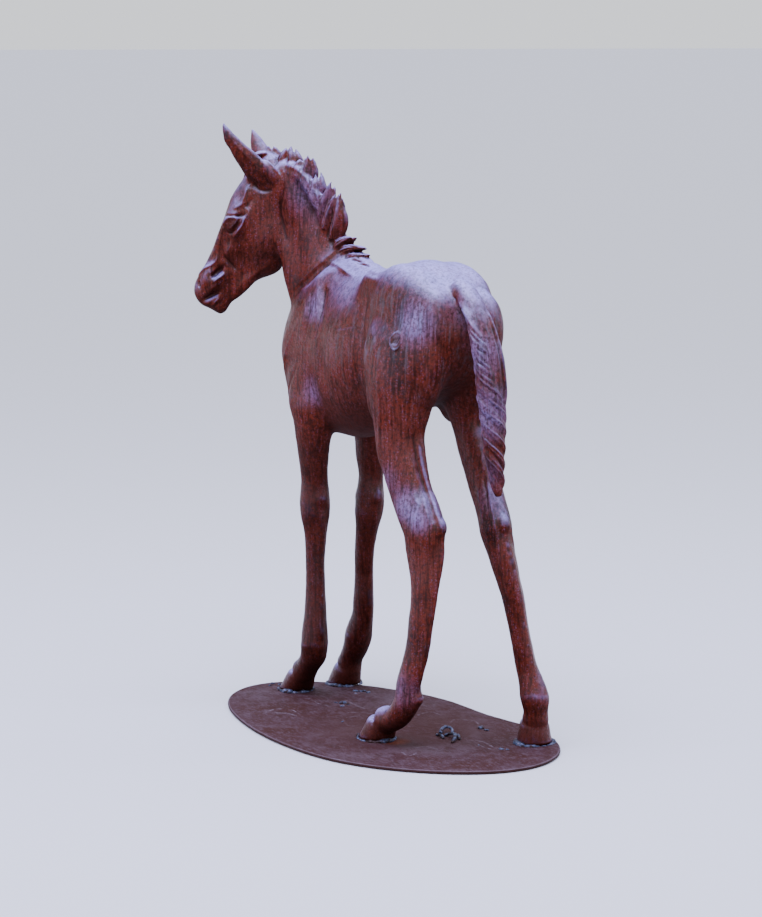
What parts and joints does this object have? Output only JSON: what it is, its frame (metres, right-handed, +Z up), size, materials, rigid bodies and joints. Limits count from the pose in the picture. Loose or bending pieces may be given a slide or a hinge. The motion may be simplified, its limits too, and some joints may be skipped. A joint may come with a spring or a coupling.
{
  "type": "garden sculpture",
  "caption": "Life-size cast iron foal standing on a thin oval plate, head turned to its left, long legs braced, with a short upright mane and a hanging tail.",
  "frame": {"origin": "centre of the base plate's underside", "axes": "+Z up, -X the way the foal's body faces, -Y towards its left side, to which its head turns"},
  "size_m": [1.0094, 0.5172, 1.2594],
  "materials": {
    "patinated_cast_iron": "satin red-brown patina over a slightly pitted casting",
    "weathered_iron_plate": "dull mauve-brown rust with grey patches"
  },
  "bodies": {
    "root": {"foal": "patinated_cast_iron", "base_plate": "weathered_iron_plate"}
  },
  "joints": []
}
